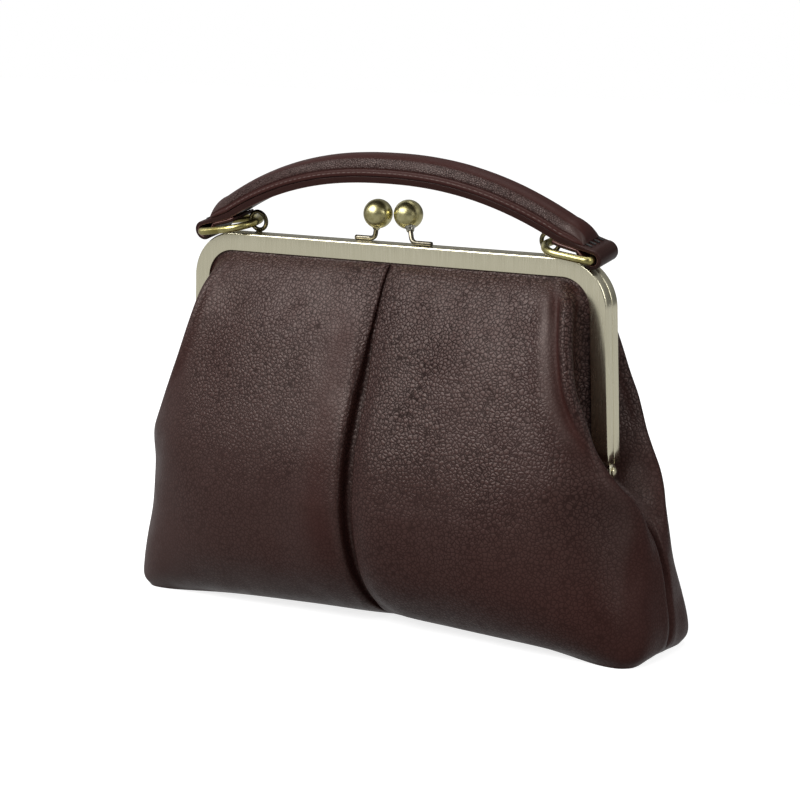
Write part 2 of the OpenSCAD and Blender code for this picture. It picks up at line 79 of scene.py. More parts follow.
# The leather's sections: height; y beside the pleat and at two places of the face; x and y of the face's
# corner, of the gusset's ridge and of a point behind it; x of the side edge
STATIONS = np.array([
    [0, -7, -12.5, -19.5, 133, -31, 147.5, -27, 148, -9, 147.5],
    [5, -20, -27.5, -32.5, 137, -35.5, 151, -28, 153.5, -8.5, 153.5],
    [14, -33.5, -38.5, -42, 135, -39.5, 152.3, -25.5, 155.5, -7, 156],
    [28, -44.5, -47.5, -48.5, 132, -41.5, 150, -24, 154.5, -6, 155],
    [45, -49.8, -51.2, -50.5, 129, -40.5, 148.5, -19, 153, -5, 151],
    [62, -51.3, -52.2, -50.5, 127, -39.5, 148.8, -15, 148.5, -5, 144.5],
    [72, -50.2, -51.3, -49.5, 125, -39.8, 148.3, -14, 141, -6, 136.5],
    [80, -48.9, -50.1, -48.4, 123, -40.2, 146, -16.5, 127.5, -8, 126.5],
    [88, -47.3, -48.5, -46.9, 120, -40.5, 141, -21.5, 114.5, -10, 122.5],
    [97, -44.7, -46.1, -44.7, 116, -39.5, 135.6, -25, 113.5, -11, 122.5],
    [110, -40.1, -41.9, -41.1, 110, -37, 128.5, -28.5, 113, -12, 122.5],
    [130, -31.8, -34.2, -34.6, 103, -31, 118.7, -30, 112, -13, 122.5],
    [150, -24, -26.2, -26.8, 99, -24.4, 113, -26, 111.5, -12, 122.5],
    [165, -17, -18.6, -19, 97, -18, 109.5, -20, 111.5, -10.5, 122.5],
    [175, -12, -13, -13.2, 97, -12.8, 106, -12, 110.5, -8, 122.5],
    [181, -8, -8.6, -8.6, 95, -8.2, 102, -7.4, 106.5, -6, 122.5],
    [184.3, -5.2, -5.2, -5.2, 93, -5.2, 98, -5.2, 101.5, -5.2, 122.5],
    [190.5, -5, -5, -5, 92, -5, 97, -5, 101, -5, 122.5]], float)


# Small helpers
def smooth(a, b, x):
    """Soft step from 0 at a to 1 at b."""
    t = np.clip((np.asarray(x, float) - a) / (b - a), 0, 1)
    return t * t * (3 - 2 * t)


def between(x, start, full, fading, end):
    """1 from full to fading, with a soft step on both sides."""
    return smooth(start, full, x) * smooth(end, fading, x)


def bump_at(x, centre, width, height=1.0):
    return height * np.exp(-((np.asarray(x, float) - centre) / width) ** 2)


def fractal(points, scale):
    """Smooth noise of two octaves, from about -1 to 1 at each point."""
    return np.array([noise.fractal(Vector(p) * scale, 1.0, 2.0, 2) for p in points])


def arc(u, v, radius, start, end, count):
    """Points of an arc, from one angle in degrees to the other."""
    angles = np.radians(np.linspace(start, end, count))
    return [(u + radius * math.cos(a), v + radius * math.sin(a)) for a in angles]


def leaned(points):
    """Points of the upright handle, leaned forward about the line through the eyelets."""
    p = np.array(points, float)
    y, z = p[..., 1] - EYE_Y, p[..., 2] - EYE_Z
    p[..., 1] = EYE_Y + y * math.cos(LEAN) - z * math.sin(LEAN)
    p[..., 2] = EYE_Z + y * math.sin(LEAN) + z * math.cos(LEAN)
    return p


class Shape:
    """Collects grids of points into one mesh."""

    def __init__(self):
        self.points, self.faces, self.marks = [], [], []
        self.values = {}
        self.count = 0

    def add_faces(self, faces):
        self.faces += faces
        self.marks += [0] * len(faces)

    def grid(self, pts, wrap_rows=False, wrap_columns=False, cap=False, **values):
        pts = np.asarray(pts, float)
        n, m = pts.shape[:2]
        index = self.count + np.arange(n * m).reshape(n, m)
        if wrap_rows:
            index = np.vstack([index, index[:1]])
        if wrap_columns:
            index = np.hstack([index, index[:, :1]])
        quads = np.stack([index[:-1, :-1], index[:-1, 1:], index[1:, 1:], index[1:, :-1]], -1)
        self.add_faces(quads.reshape(-1, 4).tolist())
        if cap:
            self.add_faces([index[0, :m].tolist()[::-1], index[-1, :m].tolist()])
        self.points.append(pts.reshape(-1, 3))
        for key, value in values.items():
            self.values.setdefault(key, []).append(np.asarray(value, float).reshape(-1))
        self.count += n * m
        return self

    def solid(self, pts, **values):
        """A grid that is closed round its rows and capped at both ends."""
        return self.grid(pts, wrap_columns=True, cap=True, **values)

    def build(self, name, materials):
        mesh = bpy.data.meshes.new(name)
        mesh.from_pydata((np.concatenate(self.points) * MM).tolist(), [], self.faces)
        mesh.polygons.foreach_set("use_smooth", [True] * len(self.faces))
        mesh.polygons.foreach_set("material_index", self.marks)
        for m in materials:
            mesh.materials.append(m)
        for key, parts in self.values.items():
            layer = mesh.attributes.new(key, "FLOAT", "POINT")
            layer.data.foreach_set("value", np.concatenate(parts))
        work = bmesh.new()
        work.from_mesh(mesh)
        bmesh.ops.recalc_face_normals(work, faces=work.faces)
        work.to_mesh(mesh)
        work.free()
        obj = bpy.data.objects.new(name, mesh)
        bpy.context.collection.objects.link(obj)
        return obj


# Angles round a tube or a turned piece start from these. No path or axis runs along them
TUBE_START, LATHE_START = (0.13, 0.31, 0.94), (0.11, 0.95, 0.28)


def tube(path, radius, sides, closed=False):
    """Rings of points round a path."""
    path = np.asarray(path, float)
    radius = np.broadcast_to(np.asarray(radius, float), (len(path),))
    if closed:
        tangent = np.roll(path, -1, 0) - np.roll(path, 1, 0)
    else:
        tangent = np.gradient(path, axis=0)
    tangent /= np.linalg.norm(tangent, axis=1)[:, None]
    side = np.cross(tangent[0], TUBE_START)
    rings = []
    angle = np.linspace(0, 2 * math.pi, sides, endpoint=False)[:, None]
    for p, t, r in zip(path, tangent, radius):
        side = side - t * side.dot(t)
        side /= np.linalg.norm(side)
        rings.append(p + r * (np.cos(angle) * side + np.sin(angle) * np.cross(t, side)))
    return np.array(rings)


def lathe(profile, origin, axis, sides):
    """Rings of points: profile is a list of (radius, distance along the axis)."""
    axis = np.asarray(axis, float) / np.linalg.norm(axis)
    u = np.cross(axis, LATHE_START)
    u /= np.linalg.norm(u)
    v = np.cross(axis, u)
    angle = np.linspace(0, 2 * math.pi, sides, endpoint=False)[:, None]
    return np.array([np.asarray(origin) + axis * h + r * (np.cos(angle) * u + np.sin(angle) * v)
                     for r, h in profile])


def fillet(corners, steps):
    """Closed outline with rounded corners. Each corner is (a, b, radius)."""
    out = []
    n = len(corners)
    for i in range(n):
        p = np.array(corners[i][:2], float)
        r = corners[i][2]
        a = np.array(corners[i - 1][:2], float) - p
        b = np.array(corners[(i + 1) % n][:2], float) - p
        a /= np.linalg.norm(a)
        b /= np.linalg.norm(b)
        half = math.acos(np.clip(a.dot(b), -1, 1)) / 2
        reach = r / math.tan(half)
        centre = p + (a + b) / np.linalg.norm(a + b) * r / math.sin(half)
        start, end = p + a * reach - centre, p + b * reach - centre
        turn = math.acos(np.clip(start.dot(end) / (r * r), -1, 1))
        for k in range(steps + 1):
            t = k / steps
            out.append(centre + (math.sin((1 - t) * turn) * start + math.sin(t * turn) * end)
                       / math.sin(turn))
    return np.array(out)


# Materials. In a material, scales count per metre and depths of relief are in metres.
class Nodes:
    """A node tree with short calls."""

    def __init__(self, tree):
        self.tree = tree

    def add(self, kind, **values):
        node = self.tree.nodes.new(kind)
        for key, value in values.items():
            setattr(node, key, value)
        return node

    def link(self, a, b):
        self.tree.links.new(a, b)

    def put(self, socket, value):
        if isinstance(value, bpy.types.NodeSocket):
            self.link(value, socket)
        else:
            socket.default_value = value

    def fill(self, node, **values):
        """Links or sets inputs by name, with underscores for spaces."""
        for key, value in values.items():
            self.put(node.inputs[key.replace("_", " ")], value)
        return node

    def math(self, operation, a, b, clamp=False):
        node = self.add("ShaderNodeMath", operation=operation, use_clamp=clamp)
        self.put(node.inputs[0], a)
        self.put(node.inputs[1], b)
        return node.outputs[0]

    def times(self, a, b, clamp=False):
        return self.math("MULTIPLY", a, b, clamp)

    def map(self, value, low, high, out_low=0.0, out_high=1.0):
        """Soft step from out_low, where the value is low, to out_high, where it is high."""
        node = self.add("ShaderNodeMapRange", interpolation_type="SMOOTHSTEP")
        self.fill(node, Value=value, From_Min=low, From_Max=high, To_Min=out_low, To_Max=out_high)
        return node.outputs["Result"]

    def grey(self, kind, tone, strength=None):
        """A plain grey shader, with a strength if it gives light."""
        node = self.fill(self.add(kind), Color=(tone, tone, tone, 1))
        if strength is not None:
            self.fill(node, Strength=strength)
        return node.outputs[0]

    def choose(self, test, otherwise, then):
        """One of two shaders, by a value that is 0 or 1."""
        node = self.add("ShaderNodeMixShader")
        for socket, value in zip(node.inputs, (test, otherwise, then)):
            self.link(value, socket)
        return node.outputs[0]


class Paint(Nodes):
    """The nodes of a new material."""

    def __init__(self, name):
        self.material = bpy.data.materials.new(name)
        self.material.use_nodes = True
        super().__init__(self.material.node_tree)
        self.shader = self.tree.nodes["Principled BSDF"]
        self.coords = self.add("ShaderNodeTexCoord").outputs["Object"]

    def scaled(self, factors):
        return self.fill(self.add("ShaderNodeMapping"), Vector=self.coords, Scale=factors).outputs[0]

    def noise(self, scale, detail=2.0, rough=0.5, vector=None):
        node = self.add("ShaderNodeTexNoise")
        self.fill(node, Vector=vector or self.coords, Scale=scale, Detail=detail, Roughness=rough)
        return node.outputs["Fac"]

    def to_edge(self, scale, vector):
        """Distance to the edge of the nearest cell."""
        node = self.add("ShaderNodeTexVoronoi", feature="DISTANCE_TO_EDGE")
        return self.fill(node, Vector=vector, Scale=scale).outputs["Distance"]

    def mix(self, factor, a, b):
        node = self.add("ShaderNodeMix", data_type="RGBA")
        return self.fill(node, Factor=factor, A=a, B=b).outputs["Result"]

    def bump(self, height, distance, strength, normal=None):
        node = self.fill(self.add("ShaderNodeBump"), Height=height, Distance=distance, Strength=strength)
        if normal:
            self.link(normal, node.inputs["Normal"])
        return node.outputs["Normal"]

    def attribute(self, name):
        return self.add("ShaderNodeAttribute", attribute_name=name).outputs["Fac"]

    def finish(self, **sockets):
        self.fill(self.shader, **sockets)
        return self.material


def rgb(r, g, b):
    """Linear colour from sRGB bytes."""
    def linear(c):
        c /= 255
        return c / 12.92 if c <= 0.04045 else ((c + 0.055) / 1.055) ** 2.4
    return (linear(r), linear(g), linear(b), 1.0)


WARM_SHEEN = (1.0, 0.87, 0.81, 1.0)
SMALL_CELLS, SMALL_SHARE = 2.1, 0.1  # pebbles within the pebbles: how much finer, how much lower
WOBBLE_SCALE, WOBBLE = 260.0, 0.0012  # the cells' edges are bent by this much


def leather(name, low, high, warm, dark, pebble=500.0, relief=0.0002, grain=1.0, rough=(0.38, 0.48),
            shine=0.41, masked=False):
    """Pebbled leather: rounded cells with a painted highlight on their tops and painted shade in the
    creases between them, fine pores and warmer patches.
    """
    n = Paint(name)
    wobble = n.add("ShaderNodeVectorMath", operation="SCALE")
    n.link(n.noise(WOBBLE_SCALE).node.outputs["Color"], wobble.inputs[0])
    wobble.inputs["Scale"].default_value = WOBBLE
    shifted = n.add("ShaderNodeVectorMath", operation="ADD")
    n.link(n.coords, shifted.inputs[0])
    n.link(wobble.outputs[0], shifted.inputs[1])
    edge = n.to_edge(pebble, shifted.outputs[0])
    small = n.to_edge(pebble * SMALL_CELLS, shifted.outputs[0])
    crease = n.math("SUBTRACT", 1.0, n.map(edge, 0.015, 0.17))
    height = n.math("ADD", n.map(edge, 0.0, 0.5), n.times(n.map(small, 0.0, 0.4), SMALL_SHARE))

    # strength of the grain, with its painted highlight on the tops and painted shade in the creases, in
    # soft patches, and where the tone is warmer
    strength = n.map(n.noise(22.0, 3.0, 0.55), 0.3, 0.7, 0.72 * grain, grain)
    warmth = n.map(n.noise(9.0), 0.35, 0.7, 0.0, 0.4)
    if masked:
        strength = n.times(strength, n.attribute("grain"))
        warmth = n.math("ADD", warmth, n.attribute("warm"), clamp=True)

    # relief of the pebbles, the pores and the slow unevenness of the hide
    normal = n.bump(height, relief, strength)
    normal = n.bump(n.noise(2400.0, 3.0, 0.6), 0.00003, 0.4, normal)
    normal = n.bump(n.noise(70.0, 3.0, 0.5), 0.0002, 0.3, normal)

    # colour: warm patches, a painted highlight (high) on the tops of the pebbles, painted shade (dark) in
    # the creases
    tone = n.mix(warmth, low, warm)
    tone = n.mix(n.times(n.map(edge, 0.12, 0.4), strength), tone, high)
    crease = n.times(n.times(crease, strength), 0.8, clamp=True)
    colour = n.mix(crease, tone, dark)

    # creases are dull, and so are the warm patches
    roughness = n.map(n.noise(90.0, 3.0), 0.3, 0.7, rough[0], rough[1])
    roughness = n.math("ADD", roughness, n.times(crease, 0.15))
    gloss = n.times(n.math("SUBTRACT", 1.0, n.times(crease, 1.05), clamp=True), shine)
    gloss = n.times(gloss, n.map(warmth, 0.2, 1.0, 1.0, 0.35))
    return n.finish(Base_Color=colour, Roughness=roughness, Normal=normal, Specular_IOR_Level=gloss,
                    Specular_Tint=WARM_SHEEN)


BRUSH_LINES = (2600.0, 2600.0, 70.0)  # fine across the metal, long down it
COARSE_LINES = tuple(scale / 5 for scale in BRUSH_LINES)
BRUSH_DEPTH, BRUSH_CLOUDS = 0.000006, 0.2


def brushed(name, dark, light, rough):
    """Metal with fine brush lines along Z and a few longer scratches."""
    n = Paint(name)
    fine = n.noise(1.0, 3.0, 0.6, n.scaled(BRUSH_LINES))
    coarse = n.noise(1.0, 2.0, 0.5, n.scaled(COARSE_LINES))
    cloud = n.noise(35.0, 3.0)
    streak = n.math("ADD", n.times(fine, 0.75), n.times(coarse, 0.25))
    colour = n.mix(n.map(streak, 0.35, 0.65), dark, light)
    colour = n.mix(n.map(cloud, 0.4, 0.7, 0.0, BRUSH_CLOUDS), colour, dark)
    roughness = n.math("ADD", rough, n.times(n.math("SUBTRACT", fine, 0.5), 0.2))
    normal = n.bump(streak, BRUSH_DEPTH, 0.5)
    return n.finish(Base_Color=colour, Roughness=roughness, Normal=normal, Metallic=1.0)


HAIR_SCRATCHES = (300.0, 3800.0, 900.0)


def polished(name, dark, light, rough, wear=0.3, cloud_scale=120.0):
    """Plated metal with soft clouds of tarnish and hair scratches."""
    n = Paint(name)
    cloud = n.noise(cloud_scale, 4.0, 0.6)
    scratch = n.noise(1.0, 2.0, 0.5, n.scaled(HAIR_SCRATCHES))
    colour = n.mix(n.map(cloud, 0.35, 0.7), light, dark)
    roughness = n.math("ADD", rough, n.times(n.math("SUBTRACT", cloud, 0.45), wear))
    normal = n.bump(scratch, 0.000008, 0.4)
    return n.finish(Base_Color=colour, Roughness=roughness, Normal=normal, Metallic=1.0)


def cloth(name, colour, dark, pitch=900.0):
    """Plain weave: bands in both directions, with thicker threads here and there."""
    n = Paint(name)
    waves = []
    for direction in ("X", "Z"):
        wave = n.add("ShaderNodeTexWave", wave_type="BANDS", bands_direction=direction)
        n.fill(wave, Vector=n.coords, Scale=pitch / 3, Distortion=0.6)
        waves.append(wave.outputs["Fac"])
    weave = n.times(waves[0], waves[1])
    tone = n.mix(n.map(n.noise(40.0, 4.0), 0.3, 0.7), colour, dark)
    return n.finish(Base_Color=n.mix(n.times(weave, 0.4), tone, dark), Roughness=0.85,
                    Normal=n.bump(weave, 0.0001, 0.5), Sheen_Weight=0.2)


def thread(name, colour, dark):
    """Twisted thread."""
    n = Paint(name)
    twist = n.noise(2400.0)
    return n.finish(Base_Color=n.mix(twist, colour, dark), Roughness=0.7,
                    Normal=n.bump(twist, 0.0001, 0.7), Sheen_Weight=0.1)


# Each leather's colours: base tone, painted highlight on the pebbles' tops, warmer tone, painted shade in
# the creases
BODY_LEATHER = leather("body_leather", rgb(46, 24, 21), rgb(54, 31, 27), rgb(53, 29, 26), rgb(11, 5, 4),
                       masked=True)
HANDLE_LEATHER = leather("handle_leather", rgb(44, 23, 20), rgb(52, 30, 27), rgb(48, 20, 17),
                         rgb(12, 6, 5), pebble=900.0, relief=0.00013, shine=0.55, masked=True)
STRAP_LEATHER = leather("strap_leather", rgb(40, 19, 16), rgb(45, 23, 20), rgb(47, 21, 18), rgb(24, 12, 10),
                        pebble=1000.0, relief=0.0001, grain=0.3, rough=(0.3, 0.4), shine=0.22)
EDGE_PAINT = leather("edge_paint", rgb(104, 72, 66), rgb(120, 88, 80), rgb(90, 58, 52), rgb(60, 38, 34),
                     pebble=1500.0, relief=0.0001, grain=0.2, rough=(0.3, 0.42))
LINING = cloth("lining_cloth", rgb(150, 128, 104), rgb(120, 100, 80))
DARK_THREAD = thread("dark_thread", rgb(10, 8, 8), rgb(22, 18, 17))
SEAM_THREAD = thread("seam_thread", rgb(92, 70, 62), rgb(60, 42, 38))
PAPER = cloth("paper_cord", rgb(186, 164, 128), rgb(150, 128, 96), 1500.0)
FRAME_METAL = brushed("frame_metal", rgb(228, 222, 194), rgb(237, 231, 204), 0.24)
STEM_METAL = polished("stem_metal", rgb(74, 70, 60), rgb(132, 126, 110), 0.2)
BALL_METAL = polished("ball_metal", rgb(156, 147, 100), rgb(204, 197, 150), 0.3, 0.2, 160.0)
RIVET_METAL = polished("rivet_metal", rgb(176, 168, 136), rgb(216, 209, 182), 0.25)
RING_METAL = polished("ring_metal", rgb(138, 128, 74), rgb(188, 179, 124), 0.27, 0.2)
EYELET_METAL = polished("eyelet_metal", rgb(62, 58, 44), rgb(112, 104, 78), 0.24)
COLLAR_METAL = polished("collar_metal", rgb(130, 126, 112), rgb(192, 190, 180), 0.14)


# Leather faces
PLEAT_TOP, PLEAT_FULL, PLEAT_FOOT = 183.0, 120.0, 12.0  # fully open between the last two
BAR_Z, CLAMP_Z, CLAMP_ROWS = 184.3, 190.5, 4  # where the leather goes into the top bar and ends
BULGE_Z, WAIST_Z = 14, 88  # heights between which the rows are spaced differently
BULGE_ROWS, WAIST_ROWS, BAR_ROWS = 18, 52, 74
SLOT_MIN, SLOT_WIDER, LIP_W = 0.4, 0.7, 2.4
LINING_SPREAD, SOFTENING, SIDE_LEAN, LEAN_TOP = 1.3, 2, 4.4, 100
GROUND_SHARES, SEAM_SHARE, GROUND_LIFT = (0.0, 0.3, 0.6, 0.85), 0.97, 0.4  # rows under the lowest one
STEPS = [2, 2, 2, 3, 3, 26, 18, 16, 20, 16, 6, 4]  # columns between the points of a half section
FOLD, RIDGE = sum(STEPS[:8]), sum(STEPS[:9])  # columns of the face's corner and of the ridge
PLEAT_WAY = PLEAT_DEPTH + PLEAT_HALF_W  # way from the pleat's bottom to its lip
RIDGES = ((1, 1.0), (-1, 0.2))  # side, and how sharp its ridge is

# Swells and grooves: place from a line of the face, width and height
RIDGE_SWELL, RIDGE_VALLEY, CORNER_SWELL = (1.2, 4.0, 3.0), (-5.6, 3.0, -1.8), (0.5, 6.0, 1.7)
SEAM_GROOVE, SEAM_SWELL = (0, 1.5, -1.8), (-6, 5.0, 0.4)
LEFT_LIP, RIGHT_LIP = (PLEAT_WAY + 1.2, 2.4, 0.6), (PLEAT_WAY + 2.0, 4.0, -0.5)
LIP_FROM, LIP_FULL = 6, 8.5
WAVE_SCALE, WAVE_HEIGHT = 0.028, 0.25

# Warm and smooth bands: place from the ridge, width and strength
VALLEY_SHEEN, BACK_SHEEN, WAIST_SHEEN, SMOOTH_BAND = (-5.4, 2.8), (6.0, 2.2, 0.6), (0, 7, 0.3), (-11, 5)
LIP_SHEEN = (-15, 12)  # the same, from the middle of the purse

# Heights where something begins, is full, begins to fade and has gone
SLOT_HEIGHTS, RIDGE_HEIGHTS, GROOVE_HEIGHTS = (20, 60, 120, 165), (102, 125, 168, 184), (2, 12, 60, 74)
SWELL_HEIGHTS, WAVE_HEIGHTS, SHEEN_HEIGHTS = (6, 20, 60, 80), (2, 18, 172, 190), (96, 120, 172, 186)
WAIST_HEIGHTS, LIP_HEIGHTS = (20, 50, 90, 110), (20, 60, 150, 180)


def hermite(t, p, q, dp, dq):
    return (p * (2 * t ** 3 - 3 * t ** 2 + 1) + dp * (t ** 3 - 2 * t ** 2 + t)
            + q * (3 * t ** 2 - 2 * t ** 3) + dq * (t ** 3 - t ** 2))


def station(z):
    """The table's values at any height, on a smooth curve, but straight inside the top bar."""
    i = min(max(int(np.searchsorted(STATIONS[:, 0], z)) - 1, 0), len(STATIONS) - 2)
    a, b = STATIONS[i], STATIONS[i + 1]
    h = b[0] - a[0]
    if i == len(STATIONS) - 2:
        return a + (b - a) * (z - a[0]) / h

    def slope(k):
        lo, hi = max(k - 1, 0), min(k + 1, len(STATIONS) - 1)
        return (STATIONS[hi] - STATIONS[lo]) / (STATIONS[hi][0] - STATIONS[lo][0])
    return hermite((z - a[0]) / h, a, b, slope(i) * h, slope(i + 1) * h)


def spline(points, steps, tight):
    """Smooth curve through points, with steps[i] pieces in its i-th stretch. The first ones are tight."""
    p = np.array(points, float)
    gap = np.maximum(np.linalg.norm(np.diff(p, axis=0), axis=1), 1e-6)
    slope = np.diff(p, axis=0) / gap[:, None]
    chordal = np.vstack([slope[:1], (slope[:-1] * gap[1:, None] + slope[1:] * gap[:-1, None])
                         / (gap[:-1] + gap[1:])[:, None], slope[-1:]])
    even = np.vstack([p[1:2] - p[:1], (p[2:] - p[:-2]) / 2, p[-1:] - p[-2:-1]])
    out = []
    for i, n in enumerate(steps):
        start = chordal[i] * gap[i] if i <= tight else even[i]
        end = chordal[i + 1] * gap[i] if i + 1 <= tight else even[i + 1]
        out += [hermite(k / n, p[i], p[i + 1], start, end) for k in range(n)]
    out.append(p[-1])
    return np.array(out)


def arm_x(inset, z):
    """Right edge of the metal frame at one height, moved in."""
    r = CORNER_R - inset
    if z > CORNER_Z:
        return CORNER_X + math.sqrt(max(r * r - (z - CORNER_Z) ** 2, 0))
    return CORNER_X + r + (CORNER_Z - z) * math.tan(SPLAY)


def pleat_share(z):
    """How far the pleat is open at one height."""
    if z >= PLEAT_TOP:
        return 0.0
    if z >= PLEAT_FULL:
        return (PLEAT_TOP - z) / (PLEAT_TOP - PLEAT_FULL)
    return min(z / PLEAT_FOOT, 1.0)


def half_section(z, spread):
    """Right half of the front face at one height, from the bottom of the pleat to the side.
    A lining is drawn with its pleat spread wider."""
    y, near_y, far_y, corner_x, corner_y, ridge_x, ridge_y, back_x, back_y, side_x = station(z)[1:]
    share = max(pleat_share(z), 0.34 * smooth(BAR_Z, 181.5, z))
    w = max(PLEAT_HALF_W * share, SLOT_MIN) + spread * LINING_SPREAD
    w += SLOT_WIDER * between(z, *SLOT_HEIGHTS)
    deep = PLEAT_DEPTH * share + 0.3 * smooth(184, 178, z)
    lip = LIP_W * share ** 0.5 + spread
    slot = [(0, y + deep), (w * 0.75, y + deep * 0.95), (w, y + deep * 0.62), (w + 0.1, y + deep * 0.3),
            (w + 0.25 + lip * 0.35, y + 0.32 * share), (w + lip, y - 0.25 * share)]
    face = [(corner_x * 0.36, near_y), (corner_x * 0.72, far_y), (corner_x, corner_y),
            (ridge_x, ridge_y), (back_x, back_y)]
    if z >= ARM_END:
        edge_x = arm_x(2.0, z)
        ends = [(min(arm_x(FACE_W, z) - 0.3, edge_x - 1), -5.2), (edge_x, -5.0)]
    else:
        ends = [(back_x + (side_x - back_x) * 0.6, back_y * 0.4), (side_x, 0.0)]
    return spline(slot + face + ends, STEPS, len(slot))


def face_rows(spread):
    """Rows of points from the ground up, each from the left side edge to the right one."""
    heights = np.concatenate([BULGE_Z * np.linspace(0, 1, BULGE_ROWS)[:-1] ** 1.6,
                              np.linspace(BULGE_Z, WAIST_Z, WAIST_ROWS)[:-1],
                              np.linspace(WAIST_Z, BAR_Z, BAR_ROWS)[:-1],
                              np.linspace(BAR_Z, CLAMP_Z, CLAMP_ROWS)])
    rows = []
    for z in heights:
        half = half_section(z, spread)
        both = np.vstack([half[:0:-1] * [-1, 1], half])
        rows.append(np.column_stack([both, np.full(len(both), z)]))
    rows = np.array(rows)
    end = len(rows) - CLAMP_ROWS
    for _ in range(SOFTENING):
        # averaging each inner row with its neighbours takes the stations out of the surface
        rows[1:end] = 0.25 * rows[:end - 1] + 0.5 * rows[1:end] + 0.25 * rows[2:end + 1]
    return rows


def normals(rows):
    """Outward directions, all inside the top bar straight to the front."""
    across, up = np.gradient(rows, axis=1), np.gradient(rows, axis=0)
    n = np.cross(across, up)
    n /= np.maximum(np.linalg.norm(n, axis=2), 1e-9)[..., None]
    n[-CLAMP_ROWS:] = [0, -1, 0]
    # at the side seam below the hinges they point sideways, so that both faces stay joined there
    at_seam = smooth(93, 86, rows[:, 0, 2])[:, None]
    for column, sign in ((0, -1.0), (-1, 1.0)):
        edge = n[:, column] * (1 - at_seam) + np.array([sign, 0, 0]) * at_seam
        n[:, column] = edge / np.linalg.norm(edge, axis=1)[:, None]
    return n


def arc_from(rows, column):
    """Distance along each row from one column, positive to the right."""
    steps = np.linalg.norm(np.diff(rows, axis=1), axis=2)
    run = np.concatenate([np.zeros((len(rows), 1)), np.cumsum(steps, axis=1)], axis=1)
    return run - run[:, column:column + 1]


def folds(rows):
    """How far the leather stands out from the plain face: lips, ridges, valleys and slow waves."""
    z = rows[..., 2]
    middle = rows.shape[1] // 2
    out = np.zeros(z.shape)
    for side, share in RIDGES:
        ridge = side * arc_from(rows, middle + side * RIDGE)
        corner = side * arc_from(rows, middle + side * FOLD)
        seam = side * arc_from(rows, middle + side * middle)
        out += share * between(z, *RIDGE_HEIGHTS) * (
            bump_at(ridge, *RIDGE_SWELL) + bump_at(ridge, *RIDGE_VALLEY) + bump_at(corner, *CORNER_SWELL))
        out += between(z, *GROOVE_HEIGHTS) * bump_at(seam, *SEAM_GROOVE)
        out += between(z, *SWELL_HEIGHTS) * bump_at(seam, *SEAM_SWELL)
    from_pleat = arc_from(rows, middle)
    pleat = np.array([pleat_share(v) for v in z[:, 0]])[:, None]
    for side, lip in ((-1, LEFT_LIP), (1, RIGHT_LIP)):
        out += pleat * bump_at(side * from_pleat, *lip) * smooth(LIP_FROM, LIP_FULL, side * from_pleat)
    wave = fractal(rows.reshape(-1, 3) * [1, 0.5, 1], WAVE_SCALE).reshape(z.shape)
    away = smooth(PLEAT_WAY, PLEAT_WAY + 12, np.abs(from_pleat)) * between(z, *WAVE_HEIGHTS)
    return out + WAVE_HEIGHT * wave * away


def settle(points):
    """The purse leans a little to one side at the ground, as in the photo."""
    p = np.array(points, float)
    p[..., 0] += SIDE_LEAN * (1 - smooth(0, LEAN_TOP, p[..., 2]))
    return p


def ground_rows(rows):
    """Rows from the bottom seam out to the lowest row."""
    first = rows[0]
    half = first[-1, 0] * SEAM_SHARE
    seam = np.column_stack([np.linspace(-half, half, len(first)), np.zeros(len(first)),
                            np.full(len(first), first[0, 2] + GROUND_LIFT)])
    return np.array([seam + (first - seam) * t for t in GROUND_SHARES])


def face_looks(rows):
    """Where the grain, with its painted highlight on the pebbles' tops and painted shade in their creases,
    is strong, and where the leather is smooth and warmer.
    """
    x, z = rows[..., 0], rows[..., 2]
    middle = rows.shape[1] // 2
    warm = np.zeros(z.shape)
    # the grain, and with it the painted highlight and crease shade, is stronger higher up
    grain = 0.46 + 0.54 * smooth(20, 135, z) * (1 - 0.3 * smooth(165, 185, z))
    low = smooth(120, 90, z)
    for side, share in RIDGES:
        ridge = side * arc_from(rows, middle + side * RIDGE)
        high = share * between(z, *SHEEN_HEIGHTS)
        band = bump_at(ridge, *VALLEY_SHEEN) + bump_at(ridge, *BACK_SHEEN)
        warm += high * band + between(z, *WAIST_HEIGHTS) * bump_at(ridge, *WAIST_SHEEN)
        warm += 0.4 * low * smooth(-12, 0, ridge)
        grain *= 1 - 0.7 * high * np.clip(band + bump_at(ridge, *SMOOTH_BAND), 0, 1)
        grain *= 1 - 0.4 * low * smooth(-22, -4, ridge)
    # the left lip of the pleat is rubbed smooth, and the lower and left parts are smoother too
    lip = bump_at(x, *LIP_SHEEN) * between(z, *LIP_HEIGHTS)
    warm += 0.6 * lip * smooth(-5.5, -8.5, x) + 0.35 * smooth(80, 10, z)
    grain *= (1 - 0.5 * lip) * (1 - 0.22 * smooth(-12, -30, x))
    grain *= 1 - 0.45 * smooth(-104, -118, x) * smooth(180, 140, z)
    return np.clip(grain, 0.08, 1), np.clip(warm, 0, 1)


